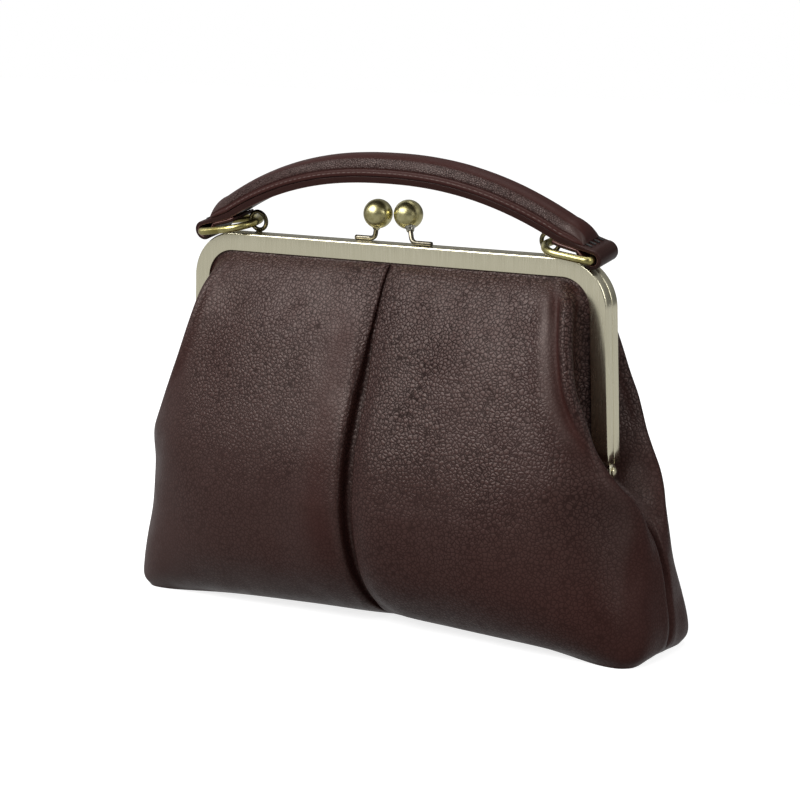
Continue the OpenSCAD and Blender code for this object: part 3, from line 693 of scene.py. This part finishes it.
def face_piece(name, depth, thickness, material, to_rear, replaced):
    """One leather face or lining: an outer and an inner skin, closed all round. depth is how far its
    outer skin lies under the face."""
    plain = face_rows(0)
    looks = face_looks(plain)
    proud = folds(plain)
    if depth == 0:
        rows = plain
    else:
        rows = face_rows(depth)
        proud = np.minimum(proud, 0)
    out = normals(rows)
    rows = rows + out * proud[..., None]
    shape = Shape()
    for under in (depth, depth + thickness):
        skin = rows - out * under
        skin[..., 2] = np.maximum(skin[..., 2], under)
        full = settle(np.concatenate([ground_rows(skin), skin]))
        if to_rear:
            full = full * [1, -1, 1]
        grain, warm = (np.concatenate([np.repeat(v[:1], len(GROUND_SHARES), axis=0), v]) for v in looks)
        shape.grid(full, grain=grain, warm=warm)
    n, m = full.shape[:2]
    for column in (0, m - 1):
        side = [i * m + column for i in range(n)]
        shape.add_faces([[a, b, n * m + b, n * m + a] for a, b in zip(side[:-1], side[1:])])
    for start in (0, (n - 1) * m):
        shape.add_faces([[start + i, start + i + 1, n * m + start + i + 1, n * m + start + i]
                         for i in range(m - 1)])
    piece = shape.build(name, [material])
    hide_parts(*replaced)
    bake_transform(piece)
    return piece


for side, rear, half_body in (("front", False, "front_half"), ("rear", True, "rear_half")):
    face_piece(f"{side}_leather", 0.0, LEATHER_T, BODY_LEATHER, rear,
               (f"{side}_panel_lower", f"{side}_panel_upper"))
    face_piece(f"{side}_lining", LEATHER_T + SLIP, LINING_T, LINING, rear,
               (f"{side}_lining_lower", f"{side}_lining_upper"))


# Metal frame
CORNER_COUNT, ARM_COUNT, BAR_COUNT = 25, 12, 14
BACK_EDGE_R, FRONT_EDGE_R, LIP_R, INSIDE_R, BACK_LIP_R = 0.5, 0.95, 0.48, 0.2, 0.4
LUG_R, LUG_T = 3.5, 1.0
RIVET_IN, RIVET_HEAD, SHANK_R, HEAD_R, HEAD_H = 123.9, 126.9, 1.25, 2.5, 1.4


def arch_path():
    """Outer edge of the frame from the left arm's end to the right one's, with inward directions."""
    pts = arc(CORNER_X, CORNER_Z, CORNER_R, 90, -SPLAY_DEGREES, CORNER_COUNT)
    dirs = arc(0, 0, -1, 90, -SPLAY_DEGREES, CORNER_COUNT)
    x0, z0 = pts[-1]
    for z in np.linspace(z0, ARM_END, ARM_COUNT)[1:]:
        pts.append((x0 + (z0 - z) * math.tan(SPLAY), z))
        dirs.append(dirs[-1])
    top = [(x, FRAME_TOP) for x in np.linspace(0, CORNER_X, BAR_COUNT)[:-1]]
    pts, dirs = np.array(top + pts), np.array([(0, -1)] * len(top) + dirs)
    left, left_dirs = pts[:0:-1] * [-1, 1], dirs[:0:-1] * [-1, 1]
    return np.vstack([left, pts]), np.vstack([left_dirs, dirs])


def channel(sign):
    """One half of the frame, a U-shaped channel with rounded edges; sign is -1 in front."""
    front, back = -HALF_DEPTH, -HALF_GAP
    corners = [(0, back, BACK_EDGE_R), (0, front, FRONT_EDGE_R), (FACE_W, front, LIP_R),
               (FACE_W, front + WALL_T, LIP_R), (RIM_T, front + WALL_T, INSIDE_R),
               (RIM_T, back - WALL_T, INSIDE_R), (FACE_W, back - WALL_T, BACK_LIP_R),
               (FACE_W, back, BACK_LIP_R)]
    outline = fillet(corners, 5)
    pts, dirs = arch_path()
    grid = np.zeros((len(pts), len(outline), 3))
    for i, (p, d) in enumerate(zip(pts, dirs)):
        grid[i, :, 0] = p[0] + d[0] * outline[:, 0]
        grid[i, :, 2] = p[1] + d[1] * outline[:, 0]
        grid[i, :, 1] = outline[:, 1] * -sign
    return grid


def lug_plates(shape, x_in, top, sign):
    """Round hinge lugs with a neck up into the arms, their edges a little rounded."""
    outline = arc(0, HINGE_Z, LUG_R, 180, 360, 25) + arc(0, HINGE_Z, LUG_R, 0, 80, 8)[1:]
    outline = np.array(outline + [(-HALF_GAP, top), (-LUG_R, top)])
    away = outline - [-1.0, HINGE_Z + 1]
    away /= np.linalg.norm(away, axis=1)[:, None]
    x_out = x_in + LUG_T
    rows = []
    for x, shrink in ((x_in, 0.25), (x_in + 0.2, 0), (x_out - 0.3, 0), (x_out - 0.1, 0.1), (x_out, 0.3)):
        o = outline - away * shrink
        rows.append(np.column_stack([np.full(len(o), x), o[:, 0] * -sign, o[:, 1]]))
    rows = np.array(rows)
    shape.solid(rows)
    shape.solid(rows * [-1, 1, 1])


for side, sign, body, x_in, top in (("front", -1, "front_half", 125.8, ARM_END + 1),
                                    ("rear", 1, "rear_half", 124.6, HINGE_Z + 7)):
    shape = Shape().solid(channel(sign))
    lug_plates(shape, x_in, top, sign)
    piece = shape.build(f"{side}_channel", [FRAME_METAL])
    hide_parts(f"{side}_frame")
    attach(piece, body)

for side, sign in (("right", 1), ("left", -1)):
    profile = [(0.01, RIVET_IN), (1.9, RIVET_IN), (2.2, 124.1), (2.2, 124.6), (SHANK_R, 124.6),
               (SHANK_R, RIVET_HEAD), (2.4, RIVET_HEAD), (HEAD_R, RIVET_HEAD + 0.12)]
    profile += [(HEAD_R * math.cos(a), RIVET_HEAD + 0.2 + HEAD_H * math.sin(a))
                for a in np.radians(np.linspace(8, 89.5, 12))]
    rivet = lathe(profile, (0, 0, HINGE_Z), (1, 0, 0), 48) * [sign, 1, 1]
    piece = Shape().solid(rivet).build(f"{side}_rivet", [RIVET_METAL])
    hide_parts(f"hinge_rivet_{side}")
    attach(piece, "rear_half")


# Kiss lock
STEM_X = LOCK_X - STEM_REACH
BALL_X = LOCK_X - BALL_PITCH / 2
foot, bend = np.array([LOCK_X - FOOT_END, FOOT_Y, FOOT_Z]), np.array([STEM_X, FOOT_Y, FOOT_Z])
ball = np.array([BALL_X, -BALL_LEAN, BALL_Z])
up_stem = (ball - bend) / np.linalg.norm(ball - bend)
BEND_R, ENTRY, BORE_R = 3.2, 4.5, 1.36  # reach of the bend, stem's end from the ball's centre, its hole
FOOT_CHAMFER = ((0, 0.92), (0.12, 1.2))  # distance from the wire's end, and radius there
COLLAR_TOP = -BALL_D / 2 + 0.7
# Outline of the collar, up its outside and back down through it: radius, height from its top
COLLAR = ((BORE_R, -2.4), (1.9, -2.4), (2.05, -1.9), (2.2, -1.2), (2.55, -0.5), (2.95, -0.1), (2.9, 0.05),
          (2.4, -0.25), (BORE_R, -0.6))


def turned(points):
    """The front half's stem and ball are the rear half's, turned round the lock's centre."""
    return np.asarray(points) * [-1, -1, 1] + [2 * LOCK_X, 0, 0]


for side, body, place in (("rear", "rear_half", np.asarray), ("front", "front_half", turned)):
    before, after = bend - [BEND_R, 0, 0], bend + up_stem * BEND_R
    corner = [(1 - t) ** 2 * before + 2 * t * (1 - t) * bend + t * t * after for t in np.linspace(0, 1, 12)]
    start = np.linspace(foot + [0.35, 0, 0], before, 6)[:-1]
    end = np.linspace(after, ball - up_stem * ENTRY, 6)[1:]
    path = np.vstack([[foot + [along, 0, 0] for along, _ in FOOT_CHAMFER], start, corner, end])
    radius = np.full(len(path), STEM_D / 2)
    radius[:len(FOOT_CHAMFER)] = [r for _, r in FOOT_CHAMFER]
    piece = Shape().solid(place(tube(path, radius, 24))).build(f"{side}_lock_stem", [STEM_METAL])
    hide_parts(f"{side}_stem")
    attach(piece, body)

    profile = [(BORE_R, -BALL_D / 2 + 3)] + arc(0, 0, BALL_D / 2, -78.5, 89.7, 40)
    sphere = lathe(profile, ball, up_stem, 64)
    piece = Shape().solid(place(sphere)).build(f"{side}_lock_ball", [BALL_METAL])
    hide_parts(f"{side}_ball")
    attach(piece, body)

    cup = place(lathe([(r, COLLAR_TOP + h) for r, h in COLLAR], ball, up_stem, 40))
    shape = Shape().grid(cup, wrap_rows=True, wrap_columns=True)
    piece = shape.build(f"{side}_lock_collar", [COLLAR_METAL])
    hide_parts(f"{side}_collar")
    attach(piece, body)


# Eyelets and rings
LOOP_COUNT = 72
EYELET_FOOT = [(1.9, 0), (1.95, 0.25), (1.55, 0.55), (1.35, 0.8), (1.3, 1.25), (0.6, 1.6)]


def ring_path():
    """Middle line of the right ring, from its far side in the eyelet round to its bar in the loop."""
    length = math.hypot(LOOP_X - EYE_X, LOOP_Z - EYE_Z)
    slope = math.atan2(EYE_Z - LOOP_Z, LOOP_X - EYE_X)
    far, bar = length - RING_CORNER, RING_HALF_W - RING_CORNER
    ring = arc(RING_HALF_W, 0, RING_HALF_W, 90, 270, 49)
    ring += [(u, -RING_HALF_W) for u in np.linspace(RING_HALF_W, far, 8)[1:-1]]
    ring += arc(far, -bar, RING_CORNER, -90, 0, 13)
    ring += [(length, v) for v in np.linspace(-bar, bar, 12)[1:-1]]
    ring += arc(far, bar, RING_CORNER, 0, 90, 13)
    ring += [(u, RING_HALF_W) for u in np.linspace(far, RING_HALF_W, 8)[1:-1]]
    return np.array([(EYE_X + u * math.cos(slope), v, EYE_Z - u * math.sin(slope)) for u, v in ring])


for side, sign in (("right", 1), ("left", -1)):
    a = np.linspace(0, 2 * math.pi, LOOP_COUNT, endpoint=False)
    loop = np.column_stack([sign * EYE_X + EYE_R * np.sin(a), np.full(LOOP_COUNT, EYE_Y),
                            EYE_Z - EYE_R * np.cos(a)])
    shape = Shape().grid(leaned(tube(loop, EYE_WIRE, 18, closed=True)), wrap_rows=True, wrap_columns=True)
    shape.solid(lathe(EYELET_FOOT, (sign * EYE_X, EYE_Y, FRAME_TOP), (0, 0, 1), 28))
    piece = shape.build(f"{side}_eyelet", [EYELET_METAL])
    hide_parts(f"eyelet_{side}")
    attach(piece, "rear_half")

    grid = leaned(tube(ring_path(), RING_R, 24, closed=True)) * [sign, 1, 1]
    piece = Shape().grid(grid, wrap_rows=True, wrap_columns=True).build(f"{side}_handle_ring", [RING_METAL])
    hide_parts(f"ring_{side}")
    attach(piece, f"{side}_ring")


# Handle
MEET, BAND_T, BAND_R = 0.95, 2.2, 0.7  # where the padding meets the loop, strap round the ring
EDGE_COLUMNS = [1, 2, 3, 6, 7, 8]  # painted edges among the columns of the strap
GAP = 0.05  # between strap, tail and padding
JOIN_H, END_H = 7.8, 1.2  # height of the padding where the loops begin and at its end
FLANGE_W, FLANGE_INSET, GROOVE = 1.1, 0.9, (0.3, 0.06, 0.35)
COVER_ANGLES = np.linspace(math.pi, 0, 61)
BOTTOM_POINTS = 3
STITCH_PITCH, STITCH_MARGIN, STITCH_SIDES = 3.1, 14, 8
# One stitch: distance along the seam, outwards, and radius of the thread
STITCH_ALONG, STITCH_OUT = np.array([0, 0.25, 1.1, 1.95, 2.2]), np.array([-0.2, 0.05, 0.12, 0.05, -0.2])
STITCH_R = [0.12, 0.26, 0.3, 0.26, 0.12]


def arch_z(x):
    """Height of the arch's underside."""
    return HANDLE_TOP - HANDLE_H - ARCH_DROP * (np.abs(x) / ARCH_REF) ** ARCH_POWER


def arch_slope(x):
    return -np.sign(x) * ARCH_DROP * ARCH_POWER / ARCH_REF * (np.abs(x) / ARCH_REF) ** (ARCH_POWER - 1)


def arch_point(x, up):
    """Point (x, z) above the arch's underside, square to it."""
    a = math.atan(arch_slope(x))
    return np.array([x - up * math.sin(a), arch_z(x) + up * math.cos(a)])


join_top = arch_point(JOIN_X, STRAP_T)
top_angle = math.atan2(LOOP_Z + LOOP_R * MEET - join_top[1], LOOP_X - join_top[0])


def strap_half():
    """Right half of the strap's middle line (x, z) and its thickness, from the middle of the arch,
    round the loop and back under itself."""
    line = [arch_point(x, STRAP_T / 2) for x in np.linspace(0, JOIN_X, 40)[:-1]]
    thick = [STRAP_T] * len(line)
    mid_r = LOOP_R - BAND_T / 2
    a, b = arch_point(JOIN_X, STRAP_T / 2), np.array([LOOP_X, LOOP_Z + mid_r])

    def upper_t(t):
        return STRAP_T + (BAND_T - STRAP_T) * smooth(0, 1, t)
    for t in np.linspace(0, 1, 10)[:-1]:
        line.append(a + (b - a) * t)
        thick.append(upper_t(t))
    loop = arc(LOOP_X, LOOP_Z, mid_r, 90, -140, 40)
    line += loop
    thick += [BAND_T] * len(loop)
    along = (b - a) / np.linalg.norm(b - a)
    under = np.array([along[1], -along[0]])
    for t in np.linspace(0.6, 0.06, 8):
        line.append(a + (b - a) * t + under * (upper_t(t) / 2 + BAND_T / 2 + GAP))
        thick.append(BAND_T - 0.2)
    line.append(arch_point(JOIN_X - 1.5, -TAIL_T / 2))
    thick.append(BAND_T - 0.3)
    return np.array(line), np.array(thick)


def band_grid(line, thick, half_w):
    """A flat band with rounded edges along a line in X and Z."""
    tangent = np.gradient(line, axis=0)
    tangent /= np.linalg.norm(tangent, axis=1)[:, None]
    up = np.column_stack([-tangent[:, 1], tangent[:, 0]])
    rows = []
    for p, n, t in zip(line, up, thick):
        r = min(BAND_R, t * 0.45)
        o = fillet([(-half_w, -t / 2, r), (half_w, -t / 2, r), (half_w, t / 2, r), (-half_w, t / 2, r)], 4)
        rows.append(np.column_stack([p[0] + n[0] * o[:, 1], o[:, 0], p[1] + n[1] * o[:, 1]]))
    return np.array(rows)


line, thick = strap_half()
line = np.vstack([line[:0:-1] * [-1, 1], line])
thick = np.concatenate([thick[:0:-1], thick])
rows = band_grid(line, thick, HANDLE_W / 2)
strap = Shape().solid(leaned(rows))
painted = np.isin(np.arange(rows.shape[1]), EDGE_COLUMNS).astype(int)
strap.marks[:(len(rows) - 1) * rows.shape[1]] = np.tile(painted, len(rows) - 1).tolist()
piece = strap.build("carry_strap", [STRAP_LEATHER, EDGE_PAINT])
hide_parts("handle_strap")
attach(piece, "handle")


def dome_line():
    """Stations of the padding: x, z, slope and height."""
    mid_h = HANDLE_H - STRAP_T
    out = []
    for x in np.linspace(0, JOIN_X, 60):
        p = arch_point(x, STRAP_T)
        out.append((p[0], p[1], math.atan(arch_slope(x)), mid_h + (JOIN_H - mid_h) * (x / JOIN_X) ** 2))
    a = math.atan(arch_slope(JOIN_X))
    run = DOME_END_X - join_top[0]
    for e in np.sin(np.linspace(0, math.pi / 2, 14))[1:]:
        out.append((join_top[0] + run * e, join_top[1] + run * e * math.tan(top_angle),
                    a + (top_angle - a) * e, max(END_H, JOIN_H * math.sqrt(max(1 - e * e, 0)))))
    out = np.array(out)
    return np.vstack([out[:0:-1] * [-1, 1, -1, 1], out])


def dome_rows():
    """Rings of points round the padded cover, with a thin flange and a groove above it on each side."""
    c, s = np.cos(COVER_ANGLES), np.sin(COVER_ANGLES)
    rows = []
    for x, z, slope, h in dome_line():
        high = smooth(2, 6, h)
        flange = FLANGE_W * smooth(0.30, 0.16, s) * high
        y = (HANDLE_W / 2 - FLANGE_INSET) * np.sign(c) * np.abs(c) ** 0.8
        y += np.sign(c) * (flange - bump_at(s, *GROOVE) * high)
        y = np.concatenate([y, [y[-1] * 0.9, 0, y[0] * 0.9]])
        up = np.concatenate([GAP + h * s, [GAP, 0.12, GAP]])
        rows.append(np.column_stack([x - up * math.sin(slope), y, z + up * math.cos(slope)]))
    return np.array(rows)


def cover_looks(rows):
    """The padded cover is smooth and warm on top, pebbled on its sides, where the pebbles carry a painted
    highlight and painted shade in their creases.
    """
    up = np.concatenate([np.sin(COVER_ANGLES), np.zeros(BOTTOM_POINTS)])
    side = between(up, 0.3, 0.42, 0.78, 0.9)
    near_end = smooth(112, 92, np.abs(rows[:, 0, 0]))
    grain = 0.12 + 0.88 * side[None, :] * near_end[:, None]
    return grain, np.broadcast_to(1 - 0.8 * side, grain.shape)


rows = dome_rows()
grain, warm = cover_looks(rows)
rows[..., 1] += 0.12 * fractal(rows.reshape(-1, 3), 0.09).reshape(rows.shape[:2])
cover = Shape().solid(leaned(rows), grain=grain, warm=warm).build("padded_cover", [HANDLE_LEATHER])
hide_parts("handle_cover", "handle_core")
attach(cover, "handle")

line = dome_line()
run = np.concatenate([[0], np.cumsum(np.hypot(np.diff(line[:, 0]), np.diff(line[:, 1])))])
stitches = Shape()
for start in np.arange(STITCH_MARGIN, run[-1] - STITCH_MARGIN, STITCH_PITCH):
    for sign in (-1, 1):
        x, z, slope, h = (np.interp(start + STITCH_ALONG, run, line[:, k]) for k in range(4))
        up = GAP + h * 0.17
        out = HANDLE_W / 2 - 0.28 + STITCH_OUT
        path = np.column_stack([x - up * np.sin(slope), sign * out, z + up * np.cos(slope)])
        stitches.solid(leaned(tube(path, STITCH_R, STITCH_SIDES)))
piece = stitches.build("cover_stitches", [SEAM_THREAD])
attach(piece, "handle")

for node, mat in (("handle_tacks", DARK_THREAD), ("front_frame_cord", PAPER), ("rear_frame_cord", PAPER)):
    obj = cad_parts[node]
    obj.data.materials.clear()
    obj.data.materials.append(mat)


# Floor. The camera sees it white with a soft shadow, polished surfaces see it evenly lit
FLOOR_HALF = 4000
SHOWN_TONE, SHOWN_GLOW, LIGHTING_TONE, MIRRORED = 0.5, 0.8, 0.3, 0.52

paint = Paint("floor_paint")
shown = paint.add("ShaderNodeAddShader")
paint.link(paint.grey("ShaderNodeBsdfDiffuse", SHOWN_TONE), shown.inputs[0])
paint.link(paint.grey("ShaderNodeEmission", 1, SHOWN_GLOW), shown.inputs[1])
ray = paint.add("ShaderNodeLightPath").outputs
unseen = paint.choose(ray["Is Glossy Ray"], paint.grey("ShaderNodeBsdfDiffuse", LIGHTING_TONE),
                      paint.grey("ShaderNodeEmission", 1, MIRRORED))
surface = paint.choose(ray["Is Camera Ray"], unseen, shown.outputs[0])
paint.link(surface, paint.tree.nodes["Material Output"].inputs["Surface"])
paint.tree.nodes.remove(paint.shader)
corners = FLOOR_HALF * np.array([[[-1, -1, 0], [1, -1, 0]], [[-1, 1, 0], [1, 1, 0]]])
floor = Shape().grid(corners).build("studio_floor", [paint.material])

# World: white for the camera, an even light on everything, and softly graded in reflections
AMBIENT, STUDIO_TONE = 0.44, 0.8
DARK_SPOT = (0.53, -0.83, 0.12)  # the direction of the camera is dark in reflections
SPOT_LEVELS = (0.72, 0.99, 1.0, 0.2)  # from, to, level before, level after
AXIS_LEVELS = (("Z", (0.45, 0.85, 0.9, 0.35)), ("Y", (0.45, 0.85, 1.0, 0.3)),
               ("Z", (-0.02, 0.45, 0.52, 1.0)))

world = bpy.data.worlds.new("studio")
bpy.context.scene.world = world
world.use_nodes = True
sky = Nodes(world.node_tree)
sky.tree.nodes.clear()
direction = sky.add("ShaderNodeTexCoord").outputs["Generated"]
towards = sky.add("ShaderNodeVectorMath", operation="DOT_PRODUCT")
sky.link(direction, towards.inputs[0])
towards.inputs[1].default_value = DARK_SPOT
axes = sky.add("ShaderNodeSeparateXYZ")
sky.link(direction, axes.inputs[0])
level = sky.map(towards.outputs["Value"], *SPOT_LEVELS)
for axis, levels in AXIS_LEVELS:
    level = sky.times(level, sky.map(axes.outputs[axis], *levels))
ray = sky.add("ShaderNodeLightPath").outputs
unseen = sky.choose(ray["Is Glossy Ray"], sky.grey("ShaderNodeBackground", 1, AMBIENT),
                    sky.grey("ShaderNodeBackground", STUDIO_TONE, level))
backdrop = sky.choose(ray["Is Camera Ray"], unseen, sky.grey("ShaderNodeBackground", 1, 1.0))
sky.link(backdrop, sky.add("ShaderNodeOutputWorld").inputs["Surface"])


# Lights and camera, in metres and watts
def area_light(name, place, target, size, power, shine=1.0):
    data = bpy.data.lights.new(name, "AREA")
    data.shape = "RECTANGLE"
    data.size, data.size_y = size
    data.energy = power
    data.specular_factor = shine
    lamp = bpy.data.objects.new(name, data)
    bpy.context.collection.objects.link(lamp)
    lamp.location = place
    lamp.rotation_euler = (Vector(target) - Vector(place)).to_track_quat("-Z", "Y").to_euler()


area_light("key_light", (-0.48, -1.05, 1.15), (0, 0, 0.1), (1.3, 1.0), 27, 0.6)
area_light("fill_light", (1.4, -0.3, 0.9), (0, 0, 0.15), (0.5, 0.9), 5)
area_light("top_light", (0.1, 0.25, 1.5), (0, 0, 0.1), (1.2, 0.8), 5, 0.2)

CAMERA_PLACE, SENSOR, LENS, FARTHEST = (0.654115, -1.013688, 0.339535), 36, 106.616, 50
yaw, pitch, roll = math.radians(32.745), math.radians(10.66), math.radians(-0.079)
forward = Vector((-math.sin(yaw) * math.cos(pitch), math.cos(yaw) * math.cos(pitch), -math.sin(pitch)))
right = Vector((math.cos(yaw), math.sin(yaw), 0))
upward = right.cross(forward)
right, upward = (math.cos(roll) * right + math.sin(roll) * upward,
                 math.cos(roll) * upward - math.sin(roll) * right)
camera_data = bpy.data.cameras.new("photo_camera")
camera_data.sensor_width = SENSOR
camera_data.lens = LENS
camera_data.clip_end = FARTHEST
camera = bpy.data.objects.new("photo_camera", camera_data)
bpy.context.collection.objects.link(camera)
turn = Matrix((right, upward, -forward)).transposed().to_4x4()
camera.matrix_world = Matrix.Translation(CAMERA_PLACE) @ turn
bpy.context.scene.camera = camera
bpy.context.scene.view_settings.view_transform = "Standard"
